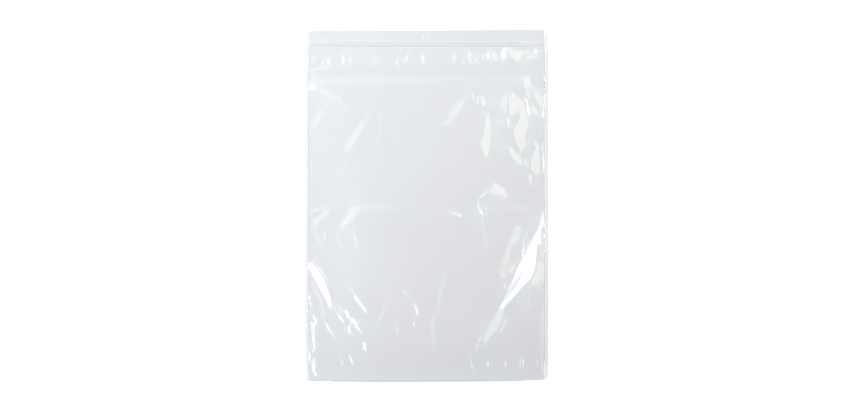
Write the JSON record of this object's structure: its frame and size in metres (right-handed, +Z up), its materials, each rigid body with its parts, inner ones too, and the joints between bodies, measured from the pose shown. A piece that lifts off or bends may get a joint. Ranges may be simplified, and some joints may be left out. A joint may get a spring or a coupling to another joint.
{
  "type": "zipper bag",
  "caption": "Clear polyethylene grip-seal bag, empty and zipped shut, lying flat with light creases, welded sides and a folded bottom.",
  "frame": {"origin": "on the table, under the middle of the bag's outline", "axes": "+X across the bag from left to right, +Y along it from the bottom fold to the zip and the mouth, +Z up through the front wall"},
  "size_m": [0.23, 0.3338, 0.0068],
  "materials": {
    "clear_film": "clear, glossy blown film with a faint haze"
  },
  "bodies": {
    "root": {"zip_bag": "clear_film"}
  },
  "joints": []
}
